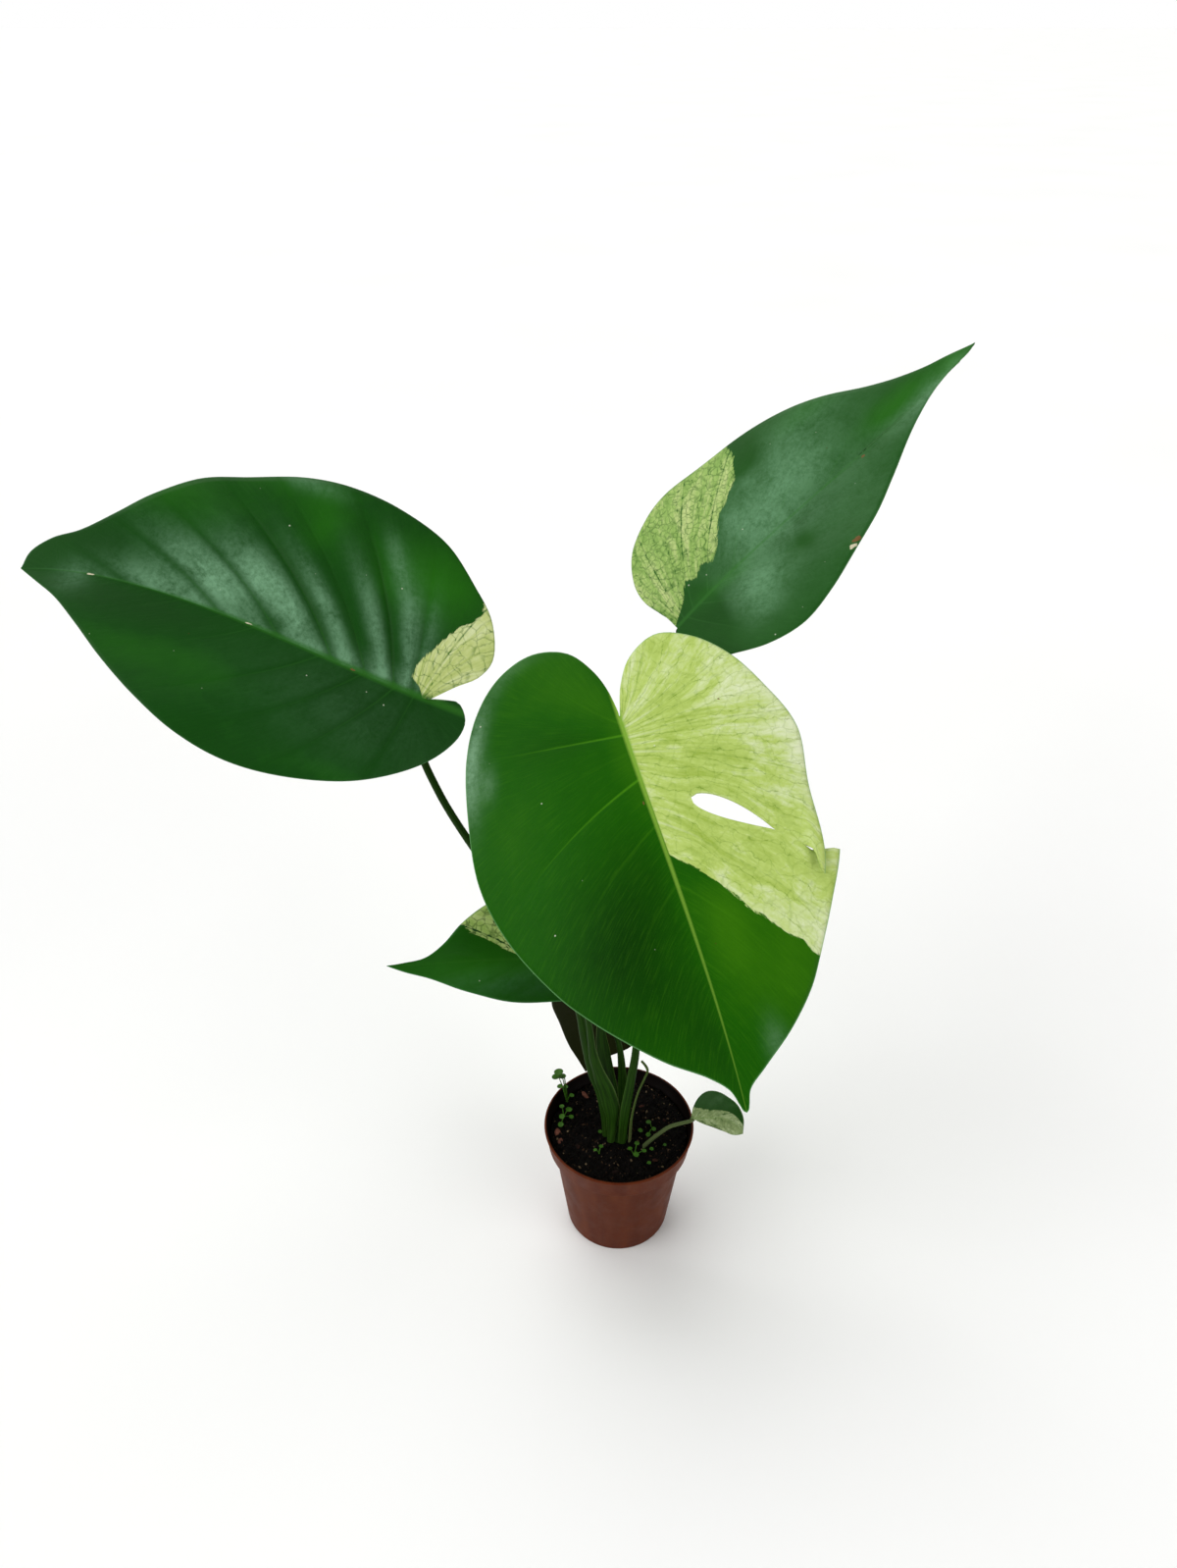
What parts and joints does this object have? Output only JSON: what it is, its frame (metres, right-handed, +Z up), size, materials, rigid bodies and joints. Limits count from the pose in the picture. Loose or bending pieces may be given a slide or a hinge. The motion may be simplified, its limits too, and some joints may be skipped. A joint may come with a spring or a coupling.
{
  "type": "potted jungle mint monstera",
  "caption": "Young variegated climbing aroid in a small round nursery pot: broad heart-shaped leaves, one with a window and a split, on sheathed stalks in dark soil.",
  "frame": {"origin": "centre of the pot's flat underside", "axes": "+Z up, the large front leaf faces -Y, +X to the right as seen from the front"},
  "size_m": [0.3853, 0.2166, 0.3833],
  "materials": {
    "pot_plastic": "moulded brown plastic, satin",
    "peat_mix": "loose dark peat with bark chips, matte",
    "stem_green": "living stem, satin",
    "petiole": "living leaf stalk, satin",
    "petiole_pale": "living leaf stalk, satin",
    "dry_sheath": "papery drying sheath, matte",
    "leaf_front": "living leaf, half green and half cream mint, satin",
    "leaf_dark": "living leaf, dark green with a cream patch, satin",
    "leaf_blue_green": "living leaf, blue-green with a mint patch, satin",
    "leaf_back": "underside of a living leaf, matte",
    "leaf_baby": "young living leaf, pale speckled, satin",
    "seedling": "tiny living seedling, satin"
  },
  "bodies": {
    "root": {"pot": "pot_plastic", "soil": "peat_mix", "stem": "stem_green", "dry_sheath": "dry_sheath", "petiole_baby": "petiole_pale", "leaf_front": "leaf_front", "leaf_left": "leaf_dark", "leaf_right": "leaf_blue_green", "leaf_small": "leaf_dark", "leaf_back": "leaf_back", "leaf_baby": "leaf_baby", "petiole_front": "petiole", "petiole_left": "petiole", "petiole_right": "petiole", "petiole_small": "petiole", "petiole_back": "petiole", "sprout_rim": "seedling", "sprout_left": "seedling", "sprout_middle": "seedling", "sprout_right": "seedling", "sprout_near": "seedling"}
  },
  "joints": []
}
